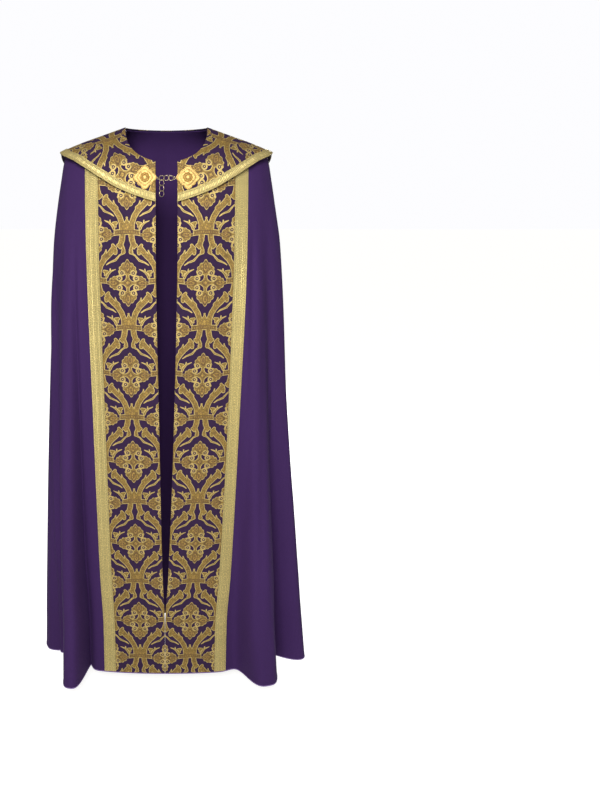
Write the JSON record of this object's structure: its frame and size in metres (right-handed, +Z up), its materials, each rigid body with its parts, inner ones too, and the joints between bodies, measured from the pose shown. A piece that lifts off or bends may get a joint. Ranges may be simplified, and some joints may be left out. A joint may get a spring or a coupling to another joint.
{
  "type": "cope vestment",
  "caption": "Floor-length hooded church cloak in plain cloth with brocade bands down both fronts and the back, a pointed hood, braid edges and a chain clasp, draped as worn and open in front.",
  "frame": {"origin": "between the wearer's shoulders, level with the sides of the neck, where the cope rests on them", "axes": "+Z up along the wearer, -Y to the wearer's front, +X to the wearer's left"},
  "size_m": [0.7929, 0.4225, 1.5171],
  "materials": {
    "purple_cloth": "plain purple wool blend, matt",
    "dark_lining": "dark purple lining cloth",
    "brocade": "gold on purple brocade",
    "galloon": "woven metallic gold braid",
    "gilt_metal": "polished gilt brass"
  },
  "bodies": {
    "cope": {"mantle_left": "purple_cloth", "mantle_right": "purple_cloth", "orphrey_front_left": "brocade", "orphrey_front_right": "brocade", "orphrey_back": "brocade", "galloon_front_left": "galloon", "galloon_front_right": "galloon", "galloon_back_left": "galloon", "galloon_back_right": "galloon", "hood": "brocade", "hood_lining": "dark_lining", "hood_galloon": "galloon", "clasp_plate_left": "gilt_metal", "clasp_plate_right": "gilt_metal", "clasp_hook": "gilt_metal", "clasp_eye": "gilt_metal", "clasp_ring_1": "gilt_metal", "clasp_ring_2": "gilt_metal", "clasp_ring_3": "gilt_metal"},
    "tail_ring_1": {"tail_ring_1": "gilt_metal"},
    "tail_ring_2": {"tail_ring_2": "gilt_metal"},
    "tail_ring_3": {"tail_ring_3": "gilt_metal"}
  },
  "joints": [
    {"name": "tail_swing_1", "type": "hinge", "parent": "cope", "child": "tail_ring_1", "pos_m": [-0.0116, -0.1329, -0.12607], "axis": [1, 0, 0], "range_deg": [-45, 45]},
    {"name": "tail_swing_2", "type": "hinge", "parent": "tail_ring_1", "child": "tail_ring_2", "pos_m": [-0.0116, -0.1329, -0.13907], "axis": [0.7071, 0.7071, 0], "range_deg": [-30, 30]},
    {"name": "tail_swing_3", "type": "hinge", "parent": "tail_ring_2", "child": "tail_ring_3", "pos_m": [-0.0116, -0.1329, -0.15207], "axis": [0.7071, -0.7071, 0], "range_deg": [-30, 30]}
  ]
}
